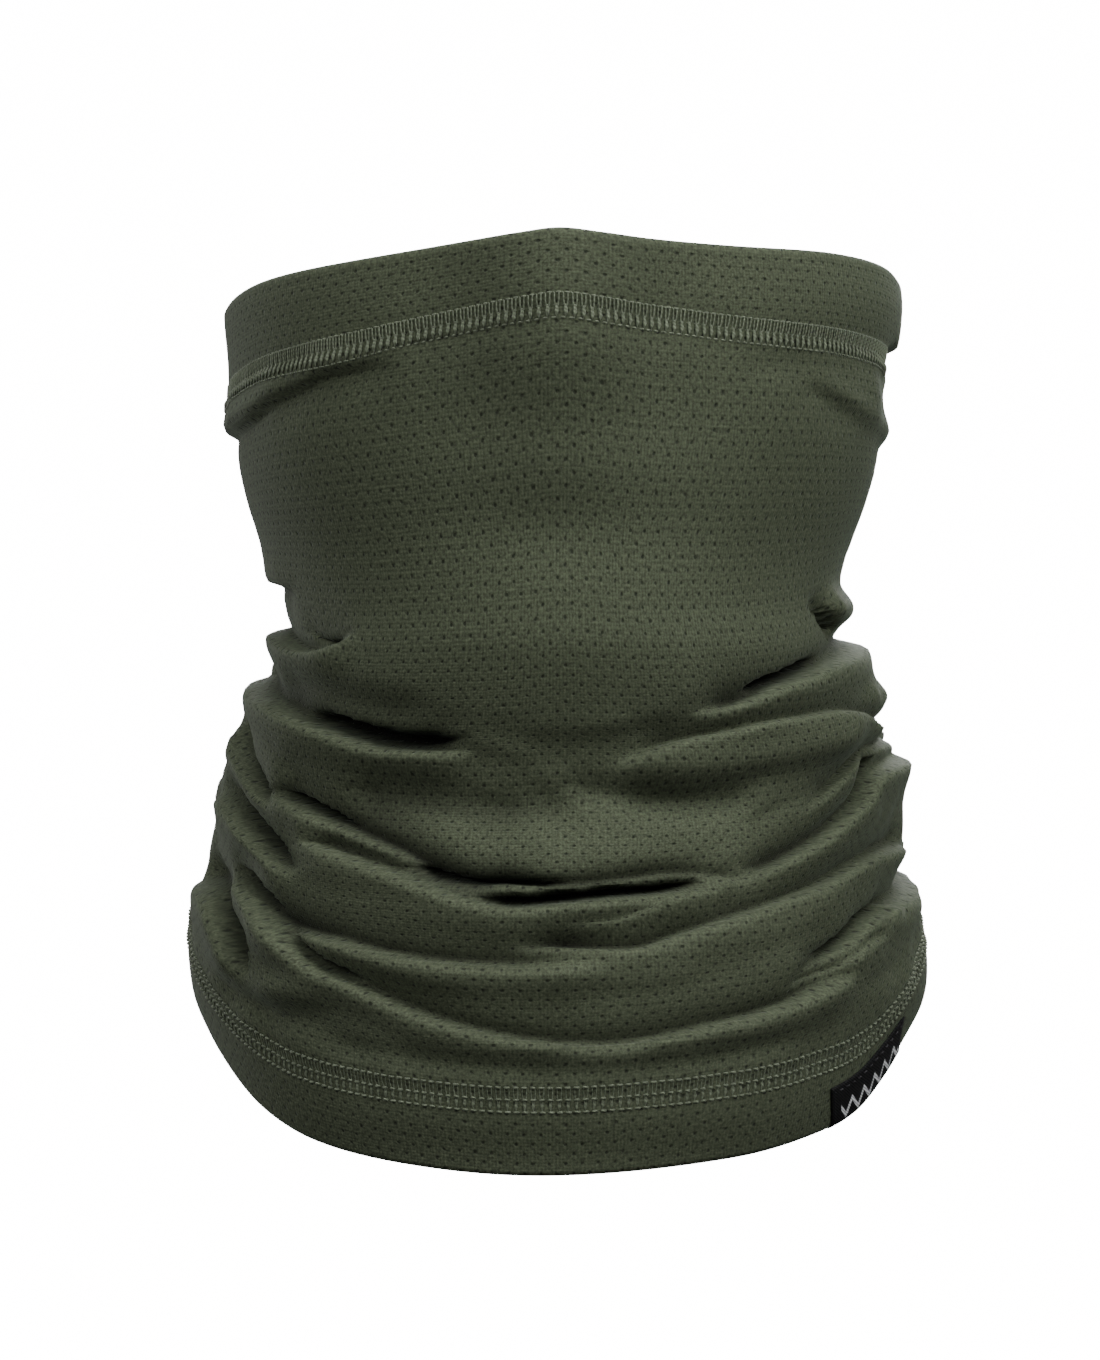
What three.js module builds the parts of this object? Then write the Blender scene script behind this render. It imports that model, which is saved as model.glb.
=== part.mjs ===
// Neck gaiter of mesh jersey, worn over nose, face and neck. One sheet of cloth is closed to a
// tube by an overlocked seam, turned in at both ends and hemmed with a three-needle coverstitch.
// A woven label is folded over the lower edge.
//
// Millimetres, +Z up. +X points to the wearer's left and -Y to the front. The origin is on the
// axis of the neck, at the tube's narrowest height. Azimuth is in degrees about +Z, from the
// front towards the wearer's left.

import * as THREE from "three";

// Cloth and sewing
const clothThickness = 0.8;
const sewnGap = 0.3; // between two pieces that are sewn tight on the real gaiter
const threadWidth = 0.5;
const threadThickness = 0.4;
const bandThickness = 0.3; // cover thread or looper thread, as a band of zigzags

// Hems: from the edge to the first needle line, and from one line to the next
const topHemDepth = 15.5;
const bottomHemDepth = 14;
const needleSpacing = 3.2;
const hemAllowance = 1.2; // cloth past the last needle line

// Closing seam, with both edges of the sheet laid to one side
const seamAzimuth = 104;
const seamAllowance = 5;
const seamPlies = 2;

// Label, folded over the lower edge
const labelStart = 52;
const labelEnd = 74;
const labelHeight = 8.6; // what shows on each face
const labelThickness = 0.4;
const labelStitchInset = 1.6; // from the label's free edge to its stitches

// Height of the top edge over the nose, on the cheeks, by the ears and at the nape
const noseRim = 80.5;
const rightCheekRim = 73.5;
const leftCheekRim = 78;
const rightEarRim = 66;
const leftEarRim = 72;
const napeRim = 67;

// Depth of the lower edge below the origin, from the front round to the back
const frontDrop = 136;
const collarboneDrop = 126;
const shoulderDrop = 110;
const sideDrop = 99;
const backDrop = 118;

// The worn tube at seven heights: reach to the wearer's right and left, to front and back
const wornSections = [
  { height: -136, right: 78, left: 78, front: 90, back: 82 },
  { height: -86, right: 88, left: 87, front: 85, back: 86 },
  { height: -42, right: 79, left: 79, front: 72, back: 76 },
  { height: -4, right: 67, left: 67.5, front: 78, back: 66 },
  { height: 20, right: 75, left: 74, front: 87, back: 76 },
  { height: 56, right: 80, left: 80, front: 92, back: 86 },
  { height: 80, right: 78.5, left: 80, front: 90, back: 87 },
];

// The cloth over a plain nose: how far it stands out, where, and how far round it reaches
const noseRise = 9;
const noseHeight = 62;
const noseSpan = 34;
const noseWrap = 20;

// Rolls of gathered cloth: height at the front, at the sides and at the back, and how far
// each stands out and spreads
const gathers = [
  { front: -56, side: -22, back: -36, rise: 3.5, spread: 7 },
  { front: -71, side: -38, back: -53, rise: 5, spread: 6.5 },
  { front: -87, side: -54, back: -70, rise: 5.5, spread: 6.5 },
  { front: -104, side: -70, back: -87, rise: 5, spread: 7 },
];

const tubeLength = noseRim + frontDrop; // at the front
const hemZone = 30; // next to each edge, where distances from the edge are kept
const hemEase = 14; // over which the gathers die out above the lower hem
const columnStep = 7.5;
const gatherStep = 6.2;
const faceStep = 14;

// Needle lines of each hem from the lowest up, in millimetres from the lower edge along the
// tube, the rows that the threads' bands cover, and where the turned-in cloth ends
const lineSteps = [0, needleSpacing, 2 * needleSpacing];
const bottomLines = lineSteps.map((step) => bottomHemDepth + step);
const topLines = lineSteps.map((step) => tubeLength - topHemDepth - lineSteps[2] + step);
const bandRows = ([low, middle, high]) => [low - threadWidth / 2, middle, high + threadWidth / 2];
const bottomTurn = bottomLines[2] + hemAllowance;
const topTurn = topLines[0] - hemAllowance;

// Smooth curve through stations [position, value], level at both ends and past them.
function through(stations, position) {
  const last = stations.length - 1;
  if (position <= stations[0][0]) return stations[0][1];
  if (position >= stations[last][0]) return stations[last][1];
  const k = stations.findIndex(([start], i) => position < stations[i + 1][0]);
  const slope = (i) => {
    if (i === 0 || i === last) return 0;
    const [before, after] = [stations[i - 1], stations[i + 1]];
    return (after[1] - before[1]) / (after[0] - before[0]);
  };
  const [x0, y0] = stations[k];
  const [x1, y1] = stations[k + 1];
  const step = x1 - x0;
  const t = (position - x0) / step;
  const bend = (t - 1) * t * step;
  return (
    y0 + (y1 - y0) * t * t * (3 - 2 * t) + bend * ((t - 1) * slope(k) + t * slope(k + 1))
  );
}

const sections = [...wornSections].sort((a, b) => a.height - b.height);
const reach = (side, height) =>
  through(sections.map((section) => [section.height, section[side]]), height);

const topEdge = (azimuth) =>
  through(
    [
      [-180, napeRim],
      [-92, rightEarRim],
      [-47, rightCheekRim],
      [0, noseRim],
      [50, leftCheekRim],
      [92, leftEarRim],
      [180, napeRim],
    ],
    azimuth,
  );

const bottomEdge = (azimuth) =>
  through(
    [
      [0, -frontDrop],
      [57, -collarboneDrop],
      [75, -shoulderDrop],
      [97, -sideDrop],
      [180, -backDrop],
    ],
    Math.abs(azimuth),
  );

// Height of a station, which counts from the lower edge to the top edge. Hems keep their
// distance from the edge all the way round, and the cloth between them takes up the rest.
function heightAt(station, azimuth) {
  if (station < hemZone) return bottomEdge(azimuth) + station;
  if (station > tubeLength - hemZone) return topEdge(azimuth) - (tubeLength - station);
  return THREE.MathUtils.mapLinear(
    station,
    hemZone,
    tubeLength - hemZone,
    bottomEdge(azimuth) + hemZone,
    topEdge(azimuth) - hemZone,
  );
}

const bell = (distance, spread) => Math.exp(-((distance / spread) ** 2));

// How far rolls of gathered cloth and the nose push the cloth out.
function rise(azimuth, height) {
  const turn = THREE.MathUtils.degToRad(azimuth);
  const sideways = Math.sin(turn) ** 2;
  const nose = noseRise * bell(azimuth, noseWrap) * bell(height - noseHeight, noseSpan);
  const aboveEdge = height - bottomEdge(azimuth);
  const ease = THREE.MathUtils.smoothstep(aboveEdge, bottomTurn, bottomTurn + hemEase);
  return gathers.reduce((sum, roll) => {
    const level = Math.cos(turn) > 0 ? roll.front : roll.back;
    const crest = level + (roll.side - level) * sideways;
    return sum + ease * roll.rise * bell(height - crest, roll.spread);
  }, nose);
}

// Place of a point that lies `offset` outside the middle of the cloth.
function place(azimuth, station, offset) {
  const turn = THREE.MathUtils.degToRad(azimuth);
  const height = heightAt(station, azimuth);
  const sideways = reach(azimuth < 0 ? "right" : "left", height);
  const fore = reach(Math.abs(azimuth) < 90 ? "front" : "back", height);
  const outward = new THREE.Vector2(Math.sin(turn) / sideways, -Math.cos(turn) / fore);
  outward.setLength(rise(azimuth, height) + offset);
  return [
    sideways * Math.sin(turn) + outward.x,
    -fore * Math.cos(turn) + outward.y,
    height,
  ];
}

// Arc length in millimetres at the shoulders, as degrees of azimuth.
const shoulderReach = reach("left", -shoulderDrop);
const degrees = (arc) => THREE.MathUtils.radToDeg(arc / shoulderReach);

// Columns that every piece shares, so that pieces that lie on each other have the same facets
const seamEdge = degrees(seamAllowance / 2);
const seamFoot = degrees(seamAllowance / 2 + clothThickness);
const seamColumns = [-seamFoot, -seamEdge, seamEdge, seamFoot].map((a) => seamAzimuth + a);
const evenColumns = Array.from(
  { length: Math.round(360 / columnStep) },
  (_, i) => -180 + i * columnStep,
).filter((azimuth) =>
  [labelStart, labelEnd, ...seamColumns].every(
    (kept) => Math.abs(azimuth - kept) > columnStep / 4,
  ),
);
const columns = [...evenColumns, labelStart, labelEnd, ...seamColumns].sort((a, b) => a - b);

// Offsets of the cloth's two faces and of the threads laid on them
const outerFace = clothThickness / 2;
const innerFace = -clothThickness / 2;
const hemInnerFace = innerFace - clothThickness;
const coverInner = outerFace + sewnGap;
const coverOuter = coverInner + bandThickness;
const needleInner = coverOuter + sewnGap;
const needleOuter = needleInner + threadThickness;
const looperOuter = hemInnerFace - sewnGap;
const looperInner = looperOuter - bandThickness;

// Inside, everything steps over the seam allowance.
const onSeam = (azimuth) => Math.abs(azimuth - seamAzimuth) < (seamEdge + seamFoot) / 2;
const stepIn = (azimuth, offset) =>
  offset < 0 && onSeam(azimuth) ? offset - seamPlies * clothThickness : offset;

// Moves each vertex of a plain geometry to its place on the tube.
function drape(geometry, locate) {
  const position = geometry.getAttribute("position");
  for (let i = 0; i < position.count; i += 1) {
    const vertex = new THREE.Vector3().fromBufferAttribute(position, i);
    const { azimuth, station, offset } = locate(vertex, i);
    position.setXYZ(i, ...place(azimuth, station, stepIn(azimuth, offset)));
  }
  geometry.deleteAttribute("uv");
  geometry.computeVertexNormals();
  return geometry;
}

// A closed hoop round the tube. Its profile lists [offset, station] corners, anticlockwise.
function hoop(profile) {
  const middle = 100; // radius of the plain lathe, taken off again by drape
  const outline = [...profile, profile[0]].map(
    ([offset, station]) => new THREE.Vector2(middle + offset, station),
  );
  const lathe = new THREE.LatheGeometry(outline, columns.length);
  return drape(lathe, (vertex, i) => ({
    azimuth: columns[Math.floor(i / outline.length) % columns.length],
    station: vertex.y,
    offset: Math.hypot(vertex.x, vertex.z) - middle,
  }));
}

// A strip that runs round part of the tube, with the given section of [offset, station] corners.
// It is extruded from its end back to its start, so that its faces point out.
function arc(section, start, end) {
  const stops = columns.filter((azimuth) => azimuth > start && azimuth < end);
  const azimuths = [end, ...stops.reverse(), start];
  const shape = new THREE.Shape(section.map((corner) => new THREE.Vector2(...corner)));
  const steps = azimuths.length - 1;
  const bar = new THREE.ExtrudeGeometry(shape, { depth: steps, steps, bevelEnabled: false });
  return drape(bar, (vertex) => ({
    azimuth: azimuths[Math.round(vertex.z)],
    station: vertex.y,
    offset: vertex.x,
  }));
}

// A strip that runs up the tube, through the given stations.
function upright(stations, start, end, inner, outer) {
  const bar = new THREE.BoxGeometry(1, 1, 1, 1, stations.length - 1, 1);
  return drape(bar, (vertex) => ({
    azimuth: vertex.x < 0 ? start : end,
    station: stations[Math.round((vertex.y + 0.5) * (stations.length - 1))],
    offset: vertex.z < 0 ? inner : outer,
  }));
}

// Section of a layer between two offsets, with a corner on each face at every station.
const layer = (inner, outer, stations) => [
  ...stations.map((station) => [outer, station]),
  ...stations.toReversed().map((station) => [inner, station]),
];

const ladder = (start, end, step) => {
  const count = Math.max(1, Math.round((end - start) / step));
  return Array.from({ length: count + 1 }, (_, i) => start + ((end - start) * i) / count);
};

const chinStation = frontDrop - 30; // the gathers lie below it
const between = [
  ...ladder(bottomTurn + clothThickness, chinStation, gatherStep),
  ...ladder(chinStation, topTurn - clothThickness, faceStep).slice(1),
];

// The cloth: outer face up to the top fold, turned-in hem, inner face, and the lower hem
const rimRound = clothThickness / 2;
const topFold = tubeLength - rimRound;
const panelProfile = [
  ...[rimRound, ...bandRows(bottomLines), bottomTurn].map((station) => [outerFace, station]),
  ...between.map((station) => [outerFace, station]),
  ...[topTurn, ...bandRows(topLines), topFold].map((station) => [outerFace, station]),
  [0, tubeLength],
  ...[topFold, ...bandRows(topLines).toReversed(), topTurn].map((station) => [
    hemInnerFace,
    station,
  ]),
  ...between.toReversed().map((station) => [innerFace, station]),
  ...[bottomTurn, ...bandRows(bottomLines).toReversed(), rimRound].map((station) => [
    hemInnerFace,
    station,
  ]),
  [0, 0],
];

const finishes = {
  jersey: { color: 0x444937, roughness: 0.9, metalness: 0 },
  thread: { color: 0x565c4a, roughness: 0.6, metalness: 0 },
  label: { color: 0x17181a, roughness: 0.7, metalness: 0 },
};

const gaiter = new THREE.Group();

function add(name, finish, geometry) {
  const mesh = new THREE.Mesh(geometry, new THREE.MeshStandardMaterial(finishes[finish]));
  mesh.name = name;
  gaiter.add(mesh);
}

// Three needle threads, the cover thread across them and the looper thread inside.
function addHemThreads(edge, lines) {
  const half = threadWidth / 2;
  ["lower", "middle", "upper"].forEach((line, k) => {
    const section = layer(needleInner, needleOuter, [lines[k] - half, lines[k] + half]);
    add(`${edge}_hem_${line}_needle_thread`, "thread", hoop(section));
  });
  const rows = bandRows(lines);
  add(`${edge}_hem_cover_thread`, "thread", hoop(layer(coverInner, coverOuter, rows)));
  add(`${edge}_hem_looper_thread`, "thread", hoop(layer(looperInner, looperOuter, rows)));
}

// Threads of the overlocked closing seam, side by side on the seam allowance.
function addSeamThreads() {
  const outer = innerFace - sewnGap;
  const inner = outer - threadThickness;
  const lanes = [
    ["needle", -seamAllowance / 2 + 0.2, threadWidth],
    ["upper_looper", -seamAllowance / 2 + 1.1, 2.4],
    ["lower_looper", seamAllowance / 2 - 1, 0.8],
  ];
  for (const [thread, from, width] of lanes) {
    const start = seamAzimuth + degrees(from);
    const end = seamAzimuth + degrees(from + width);
    const strip = upright(between.slice(1, -1), start, end, inner, outer);
    add(`closing_seam_${thread}_thread`, "thread", strip);
  }
}

function addLabel() {
  const outside = outerFace + sewnGap;
  const inside = hemInnerFace - sewnGap;
  const fold = -sewnGap;
  const section = [
    [outside + labelThickness, fold - labelThickness],
    [outside + labelThickness, labelHeight],
    [outside, labelHeight],
    [outside, fold],
    [inside, fold],
    [inside, labelHeight],
    [inside - labelThickness, labelHeight],
    [inside - labelThickness, fold - labelThickness],
  ];
  add("woven_label", "label", arc(section, labelStart, labelEnd));
  const stitch = labelHeight - labelStitchInset;
  const face = outside + labelThickness + sewnGap;
  const row = layer(face, face + threadThickness, [stitch - threadWidth, stitch]);
  add("label_stitches", "label", arc(row, labelStart + 1, labelEnd - 1));
}

add("tube_panel", "jersey", hoop(panelProfile));
addHemThreads("top", topLines);
addHemThreads("bottom", bottomLines);
addSeamThreads();
addLabel();

export default gaiter;
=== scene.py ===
"""Neck gaiter of mesh jersey, worn over nose, face and neck.

One sheet of cloth is closed to a tube by an overlocked seam, turned in at both ends and hemmed
with a three-needle coverstitch. A woven label is folded over the lower edge. Lengths are given
in millimetres and made metres where a mesh takes them. Azimuth is in degrees about +Z, from the
front towards the wearer's left.
"""

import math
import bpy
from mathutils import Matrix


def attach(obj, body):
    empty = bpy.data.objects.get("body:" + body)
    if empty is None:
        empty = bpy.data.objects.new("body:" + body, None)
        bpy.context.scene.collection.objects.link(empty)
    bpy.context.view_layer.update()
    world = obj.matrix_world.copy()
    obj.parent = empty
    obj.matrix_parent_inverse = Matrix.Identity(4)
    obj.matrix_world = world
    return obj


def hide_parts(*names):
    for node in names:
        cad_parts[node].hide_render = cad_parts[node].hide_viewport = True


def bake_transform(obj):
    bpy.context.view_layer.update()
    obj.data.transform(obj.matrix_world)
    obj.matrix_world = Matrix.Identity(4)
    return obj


bl_info = {
    "name": "Neck Gaiter",
    "version": (1, 0, 0),
    "blender": (4, 5, 0),
    "location": "View3D > Sidebar > Neck Gaiter",
    "description": "Models a worn neck gaiter: cloth, coverstitched hems, closing seam and label",
    "category": "Object",
}

import bmesh
import bpy
import numpy as np
from bpy.props import FloatProperty, FloatVectorProperty, IntProperty, PointerProperty
from mathutils import Vector

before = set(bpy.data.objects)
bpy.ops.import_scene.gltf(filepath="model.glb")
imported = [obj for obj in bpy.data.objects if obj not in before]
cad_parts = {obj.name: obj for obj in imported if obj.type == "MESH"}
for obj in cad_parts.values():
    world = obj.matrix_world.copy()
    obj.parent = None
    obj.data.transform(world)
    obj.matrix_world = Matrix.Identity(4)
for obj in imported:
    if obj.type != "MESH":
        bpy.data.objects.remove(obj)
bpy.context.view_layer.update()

MM = 0.001

# Where the rims run: height of the top edge and of the lower edge at some azimuths
TOP_EDGE = [
    (-180, 67), (-92, 66), (-60, 71.5), (-34, 74.8), (-14, 77.8), (-6, 79.2), (0, 80.2), (6, 79.3),
    (14, 78.2), (30, 77.4), (52, 77.3), (72, 75.6), (95, 71), (180, 67),
]
LOWER_EDGE = [
    (-180, -118), (-130, -104), (-100, -95), (-86, -99), (-73, -110.4), (-61, -121), (-46, -129),
    (-22, -134.1), (0, -135.4), (30, -132.2), (44, -128.9), (57, -123.9), (66, -116.2), (74, -108),
    (86, -100), (104, -97), (140, -107), (180, -118),
]
TUBE_LENGTH = 216.5  # at the front, between the two rims
RIM_ZONE = 30  # next to each rim, where distances from the rim are kept
SEAM_AZIMUTH = 104
SEAM_ALLOWANCE = 5  # width of the raw edges beyond the closing seam
SEAM_REACH = 70  # from the axis to the seam, at which its allowance is reckoned
PLY_GAP = 0.12  # half the gap between the cloth and its turned-in ply
SEAM_PLY_GAP = 0.15  # between the plies at the closing seam
PLY_BEYOND = 1.2  # how far the turned-in ply runs on past the last needle line

# The worn tube: height, reach to the wearer's right and left, to front and back
SECTIONS = [
    (-136, 79, 79.5, 84, 81),
    (-122, 82, 82.5, 87, 83.5),
    (-108, 85.5, 85.5, 88, 85),
    (-95, 89, 89, 87, 86),
    (-80, 89.5, 87.8, 84.5, 85),
    (-68, 85.5, 83.8, 81, 82.5),
    (-60, 84, 84, 77.5, 80),
    (-50, 82.2, 83.3, 75, 77.8),
    (-40, 80, 82, 75.5, 75),
    (-28, 75, 80, 81, 71),
    (-15, 70.5, 73, 84.5, 66.5),
    (-5, 69, 68.5, 85, 66.5),
    (7, 71, 69.5, 86, 71),
    (22, 76, 75, 88, 79),
    (38, 80, 80, 90, 85),
    (54, 80, 80.5, 92.5, 87),
    (68, 81, 83, 93, 87),
    (80, 79.5, 82, 93.5, 86.5),
]
SETTLE = 1.2  # millimetres by which a crease lies on the lip's side of its line
GATHER_REACH = 80  # millimetres from the axis, at which lengths along the cloth are reckoned
SIDE = (56, 80)  # azimuths between which the front becomes the side, where folds are rounder
DEEPEST, PROUDEST = 15, 6  # millimetres that all folds together may press in or stand out
HEM_FREE = (20, 27)  # millimetres above the lower edge, below which no fold reaches
DIP_SIDE, DIP_FRONT = 1.7, -1.7  # top hem's stitch lines, deeper at the sides than at the front
STITCHED_IN = (18.7, 17.2)  # from the top and the lower rim to where the stitches draw cloth in
DOUBLE = (23, 21)  # from each rim, where the double cloth of its hem ends
WRINKLE_COUNT = 150
LABEL_FROM, LABEL_ROOM = 51, 84  # azimuth of the label's front end, and one past its other end


# ---------------------------------------------------------------- shape of the worn cloth


def through(stations, place):
    """Smooth curve through (place, value) stations, level at both ends and past them."""
    at, value = np.array(stations, float).T
    slope = np.zeros(len(at))
    slope[1:-1] = (value[2:] - value[:-2]) / (at[2:] - at[:-2])
    place = np.clip(np.asarray(place, float), at[0], at[-1])
    k = np.clip(np.searchsorted(at, place, side="right") - 1, 0, len(at) - 2)
    step = at[k + 1] - at[k]
    t = (place - at[k]) / step
    bend = (t - 1) * t * step
    ramp = t * t * (3 - 2 * t)
    rise = value[k] + (value[k + 1] - value[k]) * ramp
    return rise + bend * ((t - 1) * slope[k] + t * slope[k + 1])


def smoothstep(start, end, x):
    t = np.clip((x - start) / (end - start), 0, 1)
    return t * t * (3 - 2 * t)


def bell(distance, spread):
    return np.exp(-((distance / spread) ** 2))


def turned(azimuth):
    """Azimuth brought to -180 to 180 degrees."""
    return (np.asarray(azimuth, float) + 180) % 360 - 180


def lower_edge(azimuth):
    return through(LOWER_EDGE, turned(azimuth))


def top_edge(azimuth):
    return through(TOP_EDGE, turned(azimuth))


def height_at(station, azimuth):
    """Height of a station, which counts from the lower rim to the top rim."""
    low, top = lower_edge(azimuth), top_edge(azimuth)
    share = (station - RIM_ZONE) / (TUBE_LENGTH - 2 * RIM_ZONE)
    between = low + RIM_ZONE + share * (top - low - 2 * RIM_ZONE)
    above = np.where(station > TUBE_LENGTH - RIM_ZONE, top - TUBE_LENGTH + station, between)
    return np.where(station < RIM_ZONE, low + station, above)


def arc(azimuth):
    return np.radians(azimuth) * GATHER_REACH


class Line:
    """A smooth line on the cloth through (azimuth, height) points, which fades at its ends."""

    def __init__(self, points, fade=(14, 14)):
        points = np.array(points, float)
        self.middle = (points[0, 0] + points[-1, 0]) / 2
        flat = np.column_stack([arc(points[:, 0]), points[:, 1]])
        along = np.r_[0, np.cumsum(np.hypot(*np.diff(flat, axis=0).T))]
        slope = np.gradient(flat, along, axis=0)
        at = np.linspace(0, along[-1], max(6, int(along[-1] / 1.6)))
        k = np.clip(np.searchsorted(along, at, side="right") - 1, 0, len(along) - 2)
        step = (along[k + 1] - along[k])[:, None]
        t = (at[:, None] - along[k][:, None]) / step
        self.points = (
            flat[k] * (1 + 2 * t) * (1 - t) ** 2
            + flat[k + 1] * t * t * (3 - 2 * t)
            + step * (slope[k] * t * (1 - t) ** 2 + slope[k + 1] * t * t * (t - 1))
        )
        way = np.gradient(self.points, axis=0)
        self.way = way / np.hypot(*way.T)[:, None]
        self.strength = np.ones(len(at))
        if fade[0]:
            self.strength *= smoothstep(0, fade[0], at)
        if fade[1]:
            self.strength *= smoothstep(0, fade[1], along[-1] - at)

    def nearest(self, azimuth, height, reach):
        """For the points near the line: their numbers, how far above it, how strong it is there,
        how far past its ends, and which way is above."""
        u = arc(turned(azimuth - self.middle) + self.middle)
        low, top = self.points.min(axis=0) - reach, self.points.max(axis=0) + reach
        near = np.flatnonzero((u > low[0]) & (u < top[0]) & (height > low[1]) & (height < top[1]))
        spot = np.column_stack([u[near], height[near]])
        apart = ((spot[:, None, :] - self.points[None, :, :]) ** 2).sum(axis=2)
        k = apart.argmin(axis=1)
        away = spot - self.points[k]
        up = np.column_stack([-self.way[k, 1], self.way[k, 0]])
        up *= np.where(up[:, 1:] < 0, -1, 1)
        above = (away * up).sum(axis=1)
        past = np.abs((away * self.way[k]).sum(axis=1))
        return near, above, self.strength[k], past, up


class Crease:
    """A line where gathered cloth tucks in. One side slopes gently into it, and the other side's
    lip stands out beside it and leans over it."""

    def __init__(self, points, depth, lip=0.0, ease=9, roll=8, slit=0.6, lean=1.4, wall=2.0,
                 lip_above=False, fade=(14, 14)):
        self.line = Line(points, fade)
        self.depth, self.lip, self.ease, self.roll = depth, lip, ease, roll
        self.slit, self.lean, self.wall = slit, lean, wall
        self.side = -1 if lip_above else 1

    def press(self, azimuth, height, out, slide):
        reach = 3 * max(self.ease, self.roll)
        near, above, strength, past, up = self.line.nearest(azimuth, height, reach)
        x = above * self.side + SETTLE
        gentle = -self.depth * np.exp(-np.maximum(x - self.slit, 0) / self.ease)
        y = -x
        side = smoothstep(*SIDE, np.abs(turned(azimuth[near])))
        wall = self.wall + side
        stand = smoothstep(0, wall, y)
        lip = self.lip * bell(np.maximum(y - wall, 0), self.roll)
        steep = -self.depth * (1 - stand) + lip * stand
        strength = strength * bell(past, 5)
        out[near] += np.where(x >= 0, gentle, steep) * strength
        lean = self.lean * (1 - 0.7 * side) * stand * bell(np.maximum(y - wall, 0), 0.6 * self.roll)
        slide[near] += up * (np.where(x >= 0, 0, lean) * strength * self.side)[:, None]


class Swell:
    """A soft ridge or, with a rise below 0, a soft valley along a line."""

    def __init__(self, points, rise, spread, fade=(12, 12)):
        self.line = Line(points, fade)
        self.rise, self.spread = rise, spread

    def press(self, azimuth, height, out, slide):
        near, above, strength, past, _ = self.line.nearest(azimuth, height, 3 * self.spread)
        out[near] += self.rise * bell(np.hypot(above, past), self.spread) * strength


class Slit:
    """A narrow gap with steep walls, where a fold stays open and shows no bottom."""

    def __init__(self, points, width, depth, fade=(9, 9)):
        self.line = Line(points, fade)
        self.width, self.depth = width, depth

    def press(self, azimuth, height, out, slide):
        near, above, strength, past, _ = self.line.nearest(azimuth, height, 2 * self.width)
        half = self.width / 2 * (0.35 + 0.65 * strength)  # narrower where it fades
        gap = 1 - smoothstep(0.45, 1.3, np.abs(above) / half)
        out[near] -= self.depth * gap * strength * bell(past, 3)


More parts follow.
